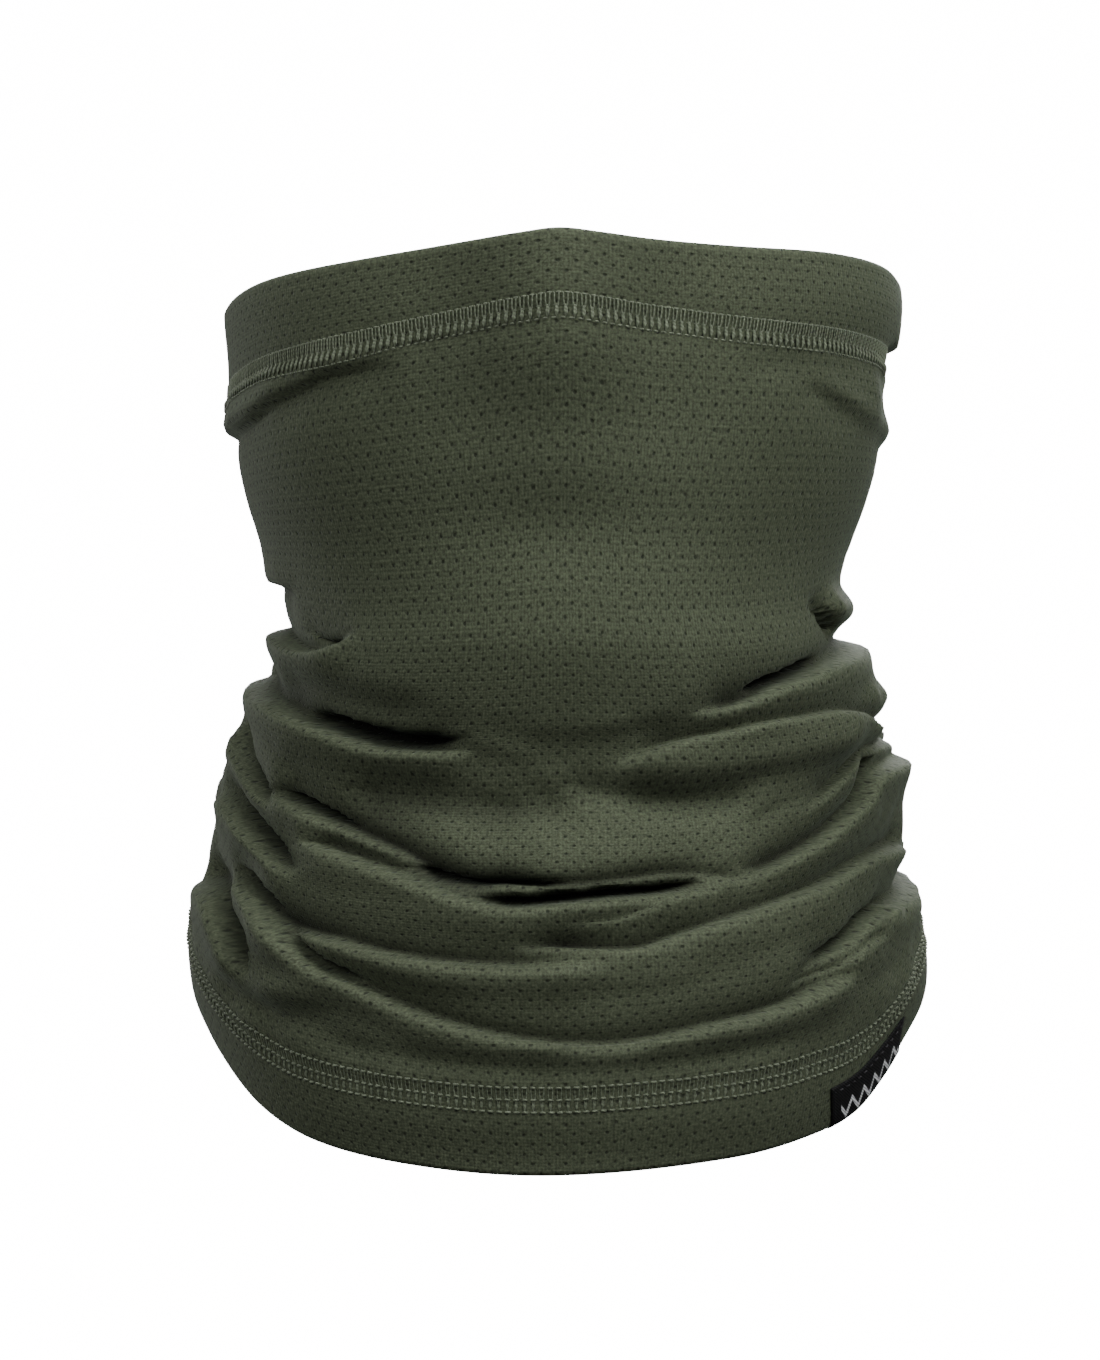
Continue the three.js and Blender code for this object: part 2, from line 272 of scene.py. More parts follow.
# Folds of the gathered cloth, from the top down: (azimuth, height) points
FOLDS = [
    # Under the top hem, where the stitched hem holds the cloth out
    Crease([(-115, 33), (-92, 35), (-79, 36), (-68, 38), (-59, 42), (-50, 45), (-42, 48), (-33, 49),
            (-24, 49)],
           2.2, 1.2, ease=6, roll=5, lip_above=True, lean=0.8, fade=(14, 26)),
    Crease([(112, 30), (95, 32), (79, 34), (66, 37), (58, 40), (53, 42), (46, 45), (38, 47.5)],
           1.4, 1.0, ease=9, roll=7, wall=4, lean=0.3, lip_above=True, fade=(14, 26)),
    Crease([(114, 55.5), (96, 56), (84, 56.5), (74, 58)], 3.0, 0.6, ease=9, roll=5, wall=1.2,
           lip_above=True),
    Swell([(84, 40), (72, 42), (61, 47), (53, 50), (43, 51.5), (35, 51), (27, 50)], -0.7, 3,
          fade=(14, 20)),
    Swell([(112, 44), (95, 44), (80, 44), (70, 46)], -1.6, 5),
    # Jaw, wearer's right
    Crease([(-125, 2), (-105, 0.5), (-90, -0.5), (-76, -1), (-64, -3)], 2.4, 1.4, ease=6, roll=6,
           wall=1.4, lip_above=True),
    Crease([(-110, -7), (-90, -8), (-76, -9.5), (-66, -12.5), (-57, -14.6), (-51, -14),
            (-47, -11.5), (-43, -8)],
           3.6, 2.6, ease=5, roll=4.5, slit=0.8, wall=1.6),
    Crease([(-64, -8), (-58, -10), (-53, -12), (-49, -13)], 1.2, 0.6, ease=3, roll=3, fade=(8, 8)),
    Swell([(-70, -22), (-58, -23.5), (-43, -26), (-30, -29), (-22, -30)], -2.2, 3.6),
    # Jaw, wearer's left
    Crease([(104, -9), (92, -10.5), (80, -12), (66, -15.5), (57, -18), (49, -20.5), (42, -22.5),
            (36, -25), (30, -27), (22, -27.5)], 5.0, 2.6, ease=6, roll=4, slit=1.2),
    Swell([(64, -4), (72, -5), (82, -5), (92, -4), (102, -4)], 5.0, 3.8),
    Swell([(60, -3), (64, -5), (68, -8), (72, -11)], -2.4, 2.4, fade=(5, 5)),
    # Under the chin
    Swell([(-40, -46), (-26, -50), (-13, -52.5), (-2, -54)], -3.6, 6.5),
    Swell([(0, -44), (-2, -52), (-4, -60)], -3.0, 8, fade=(8, 8)),
    # Wearer's right side and front
    Crease([(-104, -18), (-90, -20), (-76, -23.5), (-64, -26.5), (-56, -29.2), (-49, -31.4),
            (-43, -33.2), (-38, -34.8), (-33, -36.4), (-27, -37), (-20, -37), (-14, -36.4)],
           5.2, 3.0, ease=4.5, roll=5, slit=1.6, lean=0.8, fade=(14, 12)),
    Crease([(-88, -30), (-82, -32), (-79, -35), (-73, -39.5), (-68, -43), (-61, -48), (-55, -51)],
           4.4, 2.0, ease=4, roll=4, slit=0.8, lean=0.4),
    Crease([(-60, -46), (-53, -48.9), (-47, -51.3), (-42, -53.6), (-37, -56), (-32, -58.4),
            (-26, -61.4), (-21, -64.6), (-16, -67), (-9, -68.2), (0, -68)],
           5.4, 2.0, ease=5, roll=3.5, slit=0.8, lean=0.8),
    Crease([(-14, -67.6), (-6, -68.4), (2, -68), (10, -66.8), (19, -65.6), (27, -66.4), (33, -68)],
           2.4, 1.2, ease=2.5, roll=2.5, lean=0.6, fade=(8, 8)),
    Crease([(-48, -57), (-38, -61.1), (-33, -63), (-27, -65.6), (-21, -68.6), (-14, -71.6),
            (-8, -73.2), (0, -72.4), (10, -71), (18, -70), (28, -68)],
           5.6, 2.8, ease=3, roll=5, slit=1.2, lean=0.8),
    Crease([(-86, -46), (-76, -48.7), (-70, -51.6), (-64, -55.4), (-59, -59.2), (-55, -62),
            (-51, -64.6), (-45, -66.5)], 5.2, 2.6, ease=5, roll=5, slit=1.2, lean=0.5),
    Crease([(-70, -64), (-63, -68.4), (-57, -72), (-52, -75.6), (-48, -77.8), (-43, -79.5),
            (-36, -81.2), (-29, -83.4), (-20, -85.4), (-10, -86.4), (0, -86.6), (9, -86)],
           4.6, 2.6, ease=6.5, roll=5, slit=0.8, lean=0.4),
    Crease([(-88, -67.5), (-80, -68.8), (-73, -71), (-67, -75.3), (-63, -80.1), (-60, -84.3),
            (-57, -88.6), (-55, -93)], 6.0, 2.6, ease=5, roll=5, slit=1.6, lean=0.4,
           fade=(9, 12)),
    Swell([(-56, -92), (-50, -94), (-43, -95), (-36, -97)], 2.2, 3.6),
    Swell([(-70, -94.5), (-62, -97.5), (-52, -99.6), (-43, -100.5), (-33, -102.5)], -2.0, 3.6),
    Swell([(70, -26), (80, -26), (92, -26.5), (104, -27)], 2.2, 4.5),
    Crease([(-58, -71), (-52, -76.6), (-47, -80.9), (-43, -84.6), (-38, -88.6), (-33, -91),
            (-28, -93.8), (-23, -96.9), (-17, -99.8), (-9, -102.6), (0, -104.3), (9, -104.4),
            (17, -102.6), (24, -100.4), (31, -98.4), (38, -95.6), (45, -92.6), (52, -89)],
           4.6, 2.6, ease=6, roll=4.5, slit=0.8, lean=0.8, fade=(22, 14)),
    Swell([(-44, -105.5), (-30, -109.5), (-15, -111.6), (0, -112), (15, -111.4), (30, -108.6),
           (42, -104.5)], -1.5, 3.2),
    # Wearer's left side and front
    Crease([(8, -40), (12, -38.4), (17, -36), (22, -34.4), (28, -33), (36, -30.8), (44, -29.5),
            (54, -28.2), (65, -28.4), (77, -30.4), (90, -33), (104, -34)],
           3.6, 2.2, ease=6, roll=6, slit=0.6),
    Swell([(8, -42), (20, -42), (34, -40), (52, -37), (66, -35)], 3.0, 3.6),
    Swell([(-2, -44), (8, -48.6), (16, -50.4), (25, -51), (36, -50)], -2.8, 3.6),
    Swell([(0, -60), (12, -60.5), (24, -60), (34, -59)], 0.8, 4.5),
    Crease([(104, -35), (90, -35.5), (77, -35.8), (69, -37), (62, -39.6), (57, -42.6), (50, -47.4),
            (42, -52.4)], 3.4, 1.8, ease=4.5, roll=4),
    Crease([(104, -38), (88, -39.4), (76, -40.6), (68, -42.5), (63, -45.6), (61, -49), (56, -52.8),
            (50, -57), (44, -60.8), (36, -65), (28, -67)], 5.0, 2.4, ease=5, roll=5, slit=1.2),
    Crease([(-8, -81.5), (-2, -82.4), (5, -83), (12, -82.8), (18, -80), (24, -77.6), (32, -74.6),
            (40, -71.6), (49, -68.4), (57, -65), (67, -61.6), (78, -59.8), (88, -59)],
           4.8, 2.4, ease=6, roll=5, slit=0.7),
    Crease([(0, -77), (8, -76.4), (14, -73.8), (18, -70)], 1.4, 0.6, ease=3, roll=3, fade=(6, 6)),
    Crease([(108, -66), (92, -68.4), (78, -71.4), (64, -75.4), (57, -78), (51, -82.4), (45, -86),
            (38, -89)], 4.4, 2.4, ease=5, roll=4.5, slit=0.8),
    Crease([(60, -80.5), (54, -84), (46, -89), (37, -92)], 1.6, 1.0, ease=4, roll=4, fade=(6, 6)),
    Swell([(24, -103), (34, -99.8), (41, -97), (50, -93)], -0.8, 1.8),
    Crease([(62, -73), (68, -76), (69, -81)], 2.0, 1.0, ease=3, roll=3, fade=(5, 5)),
    Swell([(58, -90), (70, -93.5), (80, -96.5), (90, -98.4)], -0.9, 1.8),
    # Gaps that stay open
    Slit([(-56, -29.8), (-49, -31.4), (-43, -33), (-37, -34.4), (-30, -35.6), (-23, -35.8),
          (-16, -35.4)], 3.8, 12, fade=(9, 14)),
    Slit([(-72, -41), (-67, -44), (-62, -48), (-58, -50)], 2.8, 8, fade=(5, 5)),
    Slit([(-57, -47.6), (-50, -50.4), (-43, -53.6), (-36, -57)], 2.4, 7),
    Slit([(-26, -65.5), (-20, -68), (-14, -69.4), (-6, -69.4), (2, -68.6)], 3.2, 10, fade=(7, 12)),
    Slit([(-14, -72.2), (-8, -73.4), (0, -72.6), (9, -71.4), (18, -70.4), (26, -68.6)], 2.2, 8,
         fade=(9, 14)),
    Slit([(-73, -50.4), (-64, -55.4), (-58, -59.8), (-51, -64)], 3.6, 9),
    Slit([(-66, -66.4), (-58, -71.6), (-51, -76)], 2.2, 5, fade=(6, 6)),
    Slit([(-51, -78), (-44, -83.8), (-38, -88.4), (-30, -92)], 2.2, 4, fade=(9, 9)),
    Slit([(-73, -71.4), (-67, -75.6), (-63, -80.2), (-60, -84.4), (-57, -89), (-55, -92)], 4.0, 11),
    Slit([(-60, -12), (-54, -13.4), (-48, -12)], 1.8, 3, fade=(5, 5)),
    Slit([(34, -25.4), (40, -23), (47, -21), (56, -18.2), (62, -16.6)], 2.6, 7),
    Slit([(69, -41.8), (63, -45.2), (60, -50)], 3.8, 10, fade=(5, 5)),
    Slit([(66, -4), (69, -8), (73, -11)], 2.2, 4, fade=(4, 4)),
    Slit([(66, -75.2), (57, -78.2), (50, -83), (43, -87)], 2.0, 5, fade=(7, 7)),
    # Round the back of the neck, each swag joining a fold on either side
    Crease([(92, -12), (112, -16), (135, -23), (160, -29), (182, -31), (208, -28), (236, -20),
            (262, -13)],
           3.4, 2.4, ease=7, roll=6),
    Crease([(86, -29), (102, -31), (125, -38), (152, -45), (180, -48), (214, -45), (245, -36),
            (266, -29)],
           4.4, 2.6, ease=8, roll=6, slit=1.0),
    Crease([(92, -40), (110, -46), (130, -54), (158, -61), (186, -63), (220, -58), (250, -48),
            (270, -41)],
           4.2, 2.4, ease=7, roll=6),
    Crease([(88, -57), (104, -61), (125, -69), (152, -77), (182, -80), (215, -76), (246, -66),
            (264, -60)],
           4.8, 2.8, ease=8, roll=7, slit=1.0),
    Crease([(104, -76), (122, -84), (148, -92), (176, -97), (204, -96), (232, -89), (252, -80)],
           3.2, 2.2, ease=8, roll=7),
    Crease([(140, -35), (160, -39), (182, -40), (200, -36)], 1.8, 1.0, ease=4, roll=4),
    Crease([(205, -66), (222, -68), (240, -60)], 2.0, 1.2, ease=4, roll=4),
    Crease([(120, -62), (138, -69), (150, -70)], 1.8, 1.2, ease=4, roll=4),
]


def small_wrinkles():
    """Short fine ridges among the gathers, along the way the cloth is drawn there."""
    chance = np.random.default_rng(11)
    ridges = []
    for _ in range(WRINKLE_COUNT):
        azimuth = chance.uniform(-180, 180)
        level = chance.uniform(-100, -26)
        length = chance.uniform(9, 24)
        # They climb towards the sides at the front, and sag between them at the back
        front = abs(azimuth) < 90
        pull = 0.55 * math.sin(math.radians(azimuth)) * (1 if front else -0.8)
        pull += chance.normal(0, 0.08)
        line = [(azimuth + math.degrees(s * length / GATHER_REACH), level + s * length * pull
                 + 1.5 * s * s) for s in (-1, 0, 1)]
        rise = chance.choice([-1, 1]) * chance.uniform(0.2, 0.6)
        ridges.append(Swell(line, rise, chance.uniform(1.6, 3.2), fade=(8, 8)))
    return ridges


def face_form(azimuth, height):
    """How a plain face holds the cloth out: nose, lips and chin, with a hollow above the chin."""
    nose = 9 * bell(azimuth, 12 + 3 * smoothstep(60, 85, height)) * smoothstep(8, 68, height)
    lips = 1.0 * bell(azimuth, 22) * bell(height - 26, 9)
    hollow = -0.4 * bell(azimuth, 24) * bell(height - 13, 8)
    chin = 1.6 * bell(azimuth, 26) * bell(height + 6, 16)
    return nose + lips + hollow + chin


def hem_dip(azimuth):
    """How much deeper the top hem's stitch lines lie at an azimuth than their set depth."""
    return DIP_SIDE + (DIP_FRONT - DIP_SIDE) * bell(turned(azimuth), 38)


def hem_form(azimuth, height):
    """The double cloth of the hems stands out a little, and is drawn in by its stitches."""
    below_top = top_edge(azimuth) - height - hem_dip(azimuth)
    above_low = height - lower_edge(azimuth)
    ripple = np.sin(np.radians(azimuth) * 23) + 0.7 * np.sin(np.radians(azimuth) * 37 + 1)
    top = -0.55 * bell(below_top - STITCHED_IN[0], 3.6) + 0.25 * smoothstep(*DOUBLE, below_top)
    low = -0.5 * bell(above_low - STITCHED_IN[1], 3.4) + 0.25 * smoothstep(*DOUBLE, above_low)
    ease = bell(below_top - 24, 7) * 0.16 + bell(above_low - 22, 6) * 0.22
    return top + low + ripple * ease


WRINKLES = small_wrinkles()


def folds_at(azimuth, height):
    """How far the folds push the cloth out, and how far they slide it along itself."""
    out, slide = np.zeros(azimuth.size), np.zeros((azimuth.size, 2))
    flat_azimuth, flat_height = azimuth.ravel(), height.ravel()
    for fold in FOLDS + WRINKLES:
        fold.press(flat_azimuth, flat_height, out, slide)
    clear = smoothstep(*HEM_FREE, flat_height - lower_edge(flat_azimuth))
    pressed = np.where(out < 0, -DEEPEST * np.tanh(-out / DEEPEST),
                       PROUDEST * np.tanh(out / PROUDEST))
    out = pressed * clear
    slide *= clear[:, None]
    return out.reshape(azimuth.shape), slide.reshape(azimuth.shape + (2,))


def drape(azimuth, height):
    """Place on the middle of the cloth of points given by azimuth and height, in millimetres."""
    azimuth, height = np.broadcast_arrays(np.asarray(azimuth, float), np.asarray(height, float))
    push, slide = folds_at(azimuth, height)
    push = push + face_form(turned(azimuth), height) + hem_form(azimuth, height)
    azimuth = azimuth + np.degrees(slide[..., 0] / GATHER_REACH)
    height = height + slide[..., 1]
    turn = np.radians(azimuth)
    heights, right, left, front, back = (list(c) for c in zip(*SECTIONS))
    sideways = np.where(
        turned(azimuth) < 0, through(list(zip(heights, right)), height),
        through(list(zip(heights, left)), height),
    )
    fore = np.where(
        np.abs(turned(azimuth)) < 90, through(list(zip(heights, front)), height),
        through(list(zip(heights, back)), height),
    )
    outward = np.stack([np.sin(turn) / sideways, -np.cos(turn) / fore], axis=-1)
    outward /= np.linalg.norm(outward, axis=-1, keepdims=True)
    x = sideways * np.sin(turn) + outward[..., 0] * push
    y = -fore * np.cos(turn) + outward[..., 1] * push
    return np.stack([x, y, height], axis=-1)


def place(azimuth, height, offset=0.0):
    """Place of points that lie `offset` millimetres outside the middle of the cloth."""
    azimuth, height, offset = np.broadcast_arrays(
        *(np.asarray(value, float) for value in (azimuth, height, offset)))
    spot = drape(azimuth, height)
    round_ = drape(azimuth + 0.4, height) - drape(azimuth - 0.4, height)
    up = drape(azimuth, height + 0.5) - drape(azimuth, height - 0.5)
    outward = np.cross(round_, up)
    outward /= np.linalg.norm(outward, axis=-1, keepdims=True)
    return spot + outward * offset[..., None]


# ---------------------------------------------------------------- materials


def parts(hex_value):
    """Red, green and blue of an sRGB hex colour, as a panel's colour has them."""
    return tuple(int(hex_value[i : i + 2], 16) / 255 for i in (1, 3, 5))


def to_hex(values):
    """sRGB hex of a panel's colour, which is already sRGB."""
    return "#" + "".join(f"{round(max(0, min(1, c)) * 255):02x}" for c in values[:3])


def colour(hex_value):
    """Linear RGBA of an sRGB hex colour."""
    linear = (c / 12.92 if c < 0.04045 else ((c + 0.055) / 1.055) ** 2.4 for c in parts(hex_value))
    return (*linear, 1)


def add(tree, kind, inputs=None, **settings):
    """Adds a node with its settings, and sets or links its inputs. A node given for an input
    stands for its first output."""
    node = tree.nodes.new("ShaderNode" + kind)
    for name, value in settings.items():
        setattr(node, name, value)
    for socket, value in (inputs or {}).items():
        if isinstance(value, bpy.types.Node):
            value = value.outputs[0]
        if isinstance(value, bpy.types.NodeSocket):
            tree.links.new(value, node.inputs[socket])
        else:
            node.inputs[socket].default_value = value
    return node


def band_scale(spacing):
    """Scale at which a wave texture's bands lie this far apart, in metres."""
    return math.pi / 10 / spacing


def blank_material(name):
    material = bpy.data.materials.new(name)
    material.use_nodes = True
    material.node_tree.nodes.clear()
    return material, material.node_tree


def mesh_jersey(shades):
    """Eyelet mesh jersey: matt knitted polyester, with small round holes in staggered rows.
    Each hole is a dark pinprick in a fine grain of loops. Deep creases get painted shade, near
    black."""
    material, tree = blank_material("eyelet_mesh_jersey")
    cut = add(tree, "UVMap", uv_map="cut")
    # The knit pulls each hole a little out of line
    tug = add(tree, "TexNoise", {"Vector": cut, "Scale": 620, "Detail": 1})
    pulled = add(tree, "VectorMath", {0: tug.outputs["Color"], 1: (0.5, 0.5, 0.5)},
                 operation="SUBTRACT")
    uneven = add(tree, "VectorMath", {0: pulled, 1: (0.0006, 0.0005, 0), 2: cut},
                 operation="MULTIPLY_ADD")
    # Each row of holes is shifted by half a space
    holes_apart, rows_apart = 3.9 * MM, 2.35 * MM
    cells = add(tree, "VectorMath", {0: uneven, 1: (holes_apart, rows_apart, 1)},
                operation="DIVIDE")
    axes = add(tree, "SeparateXYZ", {0: cells})
    row = add(tree, "Math", {0: axes.outputs["Y"]}, operation="FLOOR")
    odd = add(tree, "Math", {0: row, 1: 2}, operation="FLOORED_MODULO")
    shift = add(tree, "Math", {0: odd, 1: 0.5, 2: axes.outputs["X"]}, operation="MULTIPLY_ADD")
    staggered = add(tree, "CombineXYZ", {"X": shift, "Y": axes.outputs["Y"]})
    cell = add(tree, "VectorMath", {0: staggered}, operation="FRACTION")
    centred = add(tree, "VectorMath", {0: cell, 1: (0.5, 0.5, 0)}, operation="SUBTRACT")
    sized = add(tree, "VectorMath", {0: centred, 1: (3.9, 2.8, 0)}, operation="MULTIPLY")
    apart = add(tree, "VectorMath", {0: sized}, operation="LENGTH")
    hole = add(tree, "MapRange", {"Value": apart.outputs["Value"], "From Min": 0.62,
                "From Max": 0.2, "To Min": 0, "To Max": 1}, interpolation_type="SMOOTHSTEP")
    pit = add(tree, "MapRange", {"Value": apart.outputs["Value"], "From Min": 1.0,
               "From Max": 0.35, "To Min": 0, "To Max": 1}, interpolation_type="SMOOTHSTEP")
    # Wales run up the cloth and courses across it. Both are about 0.4 mm apart in such a jersey,
    # too fine to show, so they are drawn twice as coarse
    wales = add(tree, "TexWave", {"Vector": cut, "Scale": band_scale(0.85 * MM),
                 "Distortion": 0.6, "Detail": 1, "Detail Scale": 0.4}, wave_type="BANDS",
                bands_direction="X", wave_profile="SIN")
    courses = add(tree, "TexWave", {"Vector": cut, "Scale": band_scale(0.78 * MM),
                   "Distortion": 1.2, "Detail": 1, "Detail Scale": 0.6}, wave_type="BANDS",
                  bands_direction="Y", wave_profile="SIN")
    # The loops' uneven tone, as grain of about 0.9 mm
    fuzz = add(tree, "TexNoise", {"Vector": cut, "Scale": 1150, "Detail": 3, "Roughness": 0.8})
    cloud = add(tree, "TexNoise", {"Vector": cut, "Scale": 16, "Detail": 2, "Roughness": 0.5})
    shade = add(tree, "Mix", {"Factor": cloud, "A": colour(to_hex(shades.cloth_dark)),
                 "B": colour(to_hex(shades.cloth_light))}, data_type="RGBA")
    tone = add(tree, "MapRange", {"Value": wales.outputs["Fac"], "To Min": 0.93, "To Max": 1.06})
    looped = add(tree, "MapRange", {"Value": courses.outputs["Fac"], "To Min": 0.95,
                  "To Max": 1.05})
    stitched = add(tree, "Math", {0: tone, 1: looped}, operation="MULTIPLY")
    mottle = add(tree, "MapRange", {"Value": fuzz, "From Min": 0.36, "From Max": 0.66,
                  "To Min": 0.6, "To Max": 1.55})
    tones = add(tree, "Math", {0: stitched, 1: mottle}, operation="MULTIPLY")
    knitted = add(tree, "VectorMath", {0: shade.outputs["Result"], "Scale": tones},
                  operation="SCALE")
    # Painted shade: the deeper the folds press the cloth in, the nearer to black its colour is
    # painted
    painted_crease_shade = add(tree, "Attribute", attribute_name="painted_crease_shade")
    shade_in_creases = add(tree, "Mix", {"Factor": painted_crease_shade.outputs["Fac"], "A": knitted,
                  "B": colour("#0b0b06")}, data_type="RGBA")
    seen = add(tree, "Math", {0: hole, 1: 0.7}, operation="MULTIPLY")
    pierced = add(tree, "Mix", {"Factor": seen, "A": shade_in_creases.outputs["Result"],
                   "B": colour("#0b0d08")}, data_type="RGBA")
    lift = add(tree, "Math", {0: wales.outputs["Fac"], 1: 0.2}, operation="MULTIPLY")
    ribbed = add(tree, "Math", {0: courses.outputs["Fac"], 1: 0.2, 2: lift},
                 operation="MULTIPLY_ADD")
    fuzzy = add(tree, "Math", {0: fuzz, 1: 0.7, 2: ribbed}, operation="MULTIPLY_ADD")
    dished = add(tree, "Math", {0: pit, 1: -0.2, 2: fuzzy}, operation="MULTIPLY_ADD")
    relief = add(tree, "Math", {0: hole, 1: -0.9, 2: dished}, operation="MULTIPLY_ADD")
    bump = add(tree, "Bump", {"Height": relief, "Strength": 0.8, "Distance": 0.00022})
    surface = add(tree, "BsdfPrincipled", {"Base Color": pierced.outputs["Result"],
                   "Roughness": 0.82, "Specular IOR Level": 0.2, "Sheen Weight": 0.15,
                   "Sheen Roughness": 0.4, "Sheen Tint": colour("#a9b8a6"), "Normal": bump})
    add(tree, "OutputMaterial", {"Surface": surface})
    return material


def sewing_thread(name, hex_value, twist_mm, roughness):
    """Polyester sewing thread: two plies twisted together, a little glossier than the cloth."""
    material, tree = blank_material(name)
    spot = add(tree, "TexCoord")
    turn = add(tree, "Mapping", {"Vector": spot.outputs["Object"], "Rotation": (0.4, 0.5, 0.7)})
    plies = add(tree, "TexWave", {"Vector": turn, "Scale": band_scale(twist_mm * MM),
                 "Distortion": 1.5, "Detail": 1}, wave_type="BANDS", bands_direction="DIAGONAL")
    shade = add(tree, "Mix", {"Factor": plies.outputs["Fac"],
                 "A": tuple(c * 0.6 for c in colour(hex_value)[:3]) + (1,),
                 "B": colour(hex_value)}, data_type="RGBA")
    bump = add(tree, "Bump", {"Height": plies.outputs["Fac"], "Strength": 0.6,
                "Distance": 0.00008})
    surface = add(tree, "BsdfPrincipled", {"Base Color": shade.outputs["Result"],
                   "Roughness": roughness, "Specular IOR Level": 0.4, "Sheen Weight": 0.15,
                   "Normal": bump})
    add(tree, "OutputMaterial", {"Surface": surface})
    return material


def woven_satin(shades):
    """Damask-woven polyester label: black satin ground, with a plain silver zigzag. The weave
    shows as fine ribs across it."""
    material, tree = blank_material("woven_label_satin")
    cut = add(tree, "UVMap", uv_map="cut")
    axes = add(tree, "SeparateXYZ", {0: cut})
    # Zigzag of 5 mm to a turn and 3.4 mm high, in the middle of the 8.6 mm that shows
    swing = add(tree, "Math", {0: axes.outputs["X"], 1: 0.0025}, operation="PINGPONG")
    level = add(tree, "Math", {0: axes.outputs["Y"]}, operation="ABSOLUTE")
    middle = add(tree, "Math", {0: level, 1: 0.0026}, operation="SUBTRACT")
    tilt = add(tree, "Math", {0: swing, 1: 1.36}, operation="MULTIPLY")
    off = add(tree, "Math", {0: middle, 1: tilt}, operation="SUBTRACT")
    away = add(tree, "Math", {0: off}, operation="ABSOLUTE")
    zigzag = add(tree, "MapRange", {"Value": away, "From Min": 0.00085, "From Max": 0.0006,
                  "To Min": 0, "To Max": 1})
    # It stops 3 mm short of the front end and 1 mm short of the other
    ends = add(tree, "Math", {0: axes.outputs["X"], 1: 0.017}, operation="SUBTRACT")
    to_end = add(tree, "Math", {0: ends}, operation="ABSOLUTE")
    inside = add(tree, "Math", {0: to_end, 1: 0.0138}, operation="LESS_THAN")
    figure = add(tree, "Math", {0: zigzag, 1: inside}, operation="MULTIPLY")
    ribs = add(tree, "TexWave", {"Vector": cut, "Scale": band_scale(0.4 * MM), "Distortion": 0.4},
               wave_type="BANDS", bands_direction="DIAGONAL")
    ground = add(tree, "Mix", {"Factor": ribs.outputs["Fac"], "A": colour("#060607"),
                  "B": colour(to_hex(shades.label))}, data_type="RGBA")
    silver = add(tree, "Mix", {"Factor": ribs.outputs["Fac"], "A": colour("#8f9093"),
                  "B": colour("#d6d7d8")}, data_type="RGBA")
    shade = add(tree, "Mix", {"Factor": figure, "A": ground.outputs["Result"],
                 "B": silver.outputs["Result"]}, data_type="RGBA")
    height = add(tree, "Math", {0: figure, 1: 1.5, 2: ribs.outputs["Fac"]},
                 operation="MULTIPLY_ADD")
    bump = add(tree, "Bump", {"Height": height, "Strength": 0.6, "Distance": 0.0001})
    surface = add(tree, "BsdfPrincipled", {"Base Color": shade.outputs["Result"], "Roughness": 0.6,
                   "Specular IOR Level": 0.2, "Normal": bump})
    add(tree, "OutputMaterial", {"Surface": surface})
    return material


def backdrop_paper():
    """Seamless studio paper, matt and near white."""
    material, tree = blank_material("seamless_paper")
    surface = add(tree, "BsdfPrincipled", {"Base Color": colour("#f4f4f2"), "Roughness": 0.9,
                   "Emission Color": colour("#fefefd"), "Emission Strength": 16.0})
    add(tree, "OutputMaterial", {"Surface": surface})
    return material


# ---------------------------------------------------------------- sizes and colours


class GaiterSizes(bpy.types.PropertyGroup):
    cloth_thickness: FloatProperty(
        name="Cloth thickness", description="Thickness of the mesh jersey",
        default=0.0008, min=0.0004, max=0.0015, unit="LENGTH")
    top_hem_depth: FloatProperty(
        name="Top hem depth", description="From the top edge to the first needle line",
        default=0.0155, min=0.005, max=0.03, unit="LENGTH")
    bottom_hem_depth: FloatProperty(
        name="Bottom hem depth", description="From the lower edge to the first needle line",
        default=0.014, min=0.005, max=0.03, unit="LENGTH")
    needle_spacing: FloatProperty(
        name="Needle spacing", description="From one needle line of the coverstitch to the next",
        default=0.0029, min=0.002, max=0.005, unit="LENGTH")
    stitch_length: FloatProperty(
        name="Stitch length", description="Length of one stitch of the hems and the seam",
        default=0.002, min=0.0015, max=0.004, unit="LENGTH")
    thread_width: FloatProperty(
        name="Thread width", description="Width of a sewing thread laid on the cloth",
        default=0.0004, min=0.0002, max=0.0008, unit="LENGTH")
    label_length: FloatProperty(
        name="Label length", description="Length of the woven label along the edge",
        default=0.032, min=0.02, max=0.05, unit="LENGTH")
    label_height: FloatProperty(
        name="Label height", description="How much of the label shows on each face",
        default=0.0086, min=0.005, max=0.015, unit="LENGTH")
    columns: IntProperty(
        name="Columns", description="Columns of the cloth's mesh round the tube",
        default=214, min=60, max=240)


class GaiterShades(bpy.types.PropertyGroup):
    cloth_light: FloatVectorProperty(
        name="Cloth, light", description="Lighter shade of the mesh jersey",
        subtype="COLOR_GAMMA", size=3, min=0, max=1, default=parts("#434939"))
    cloth_dark: FloatVectorProperty(
        name="Cloth, dark", description="Darker shade of the mesh jersey",
        subtype="COLOR_GAMMA", size=3, min=0, max=1, default=parts("#3c4232"))
    thread: FloatVectorProperty(
        name="Thread", description="Shade of the sewing thread",
        subtype="COLOR_GAMMA", size=3, min=0, max=1, default=parts("#636c57"))
    label: FloatVectorProperty(
        name="Label", description="Ground shade of the woven label",
        subtype="COLOR_GAMMA", size=3, min=0, max=1, default=parts("#0b0b0c"))


# ---------------------------------------------------------------- pieces


def finish_piece(name, mesh, material, node, blended=True):
    """Puts a finished mesh in the scene and hides its CAD node."""
    mesh.polygons.foreach_set("use_smooth", [True] * len(mesh.polygons))
    mesh.materials.append(material)
    piece = bpy.data.objects.new(name, mesh)
    bpy.context.scene.collection.objects.link(piece)
    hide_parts(node)
    if blended:
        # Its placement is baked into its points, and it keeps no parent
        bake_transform(piece)
    else:
        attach(piece, "neck_tube")
    return piece


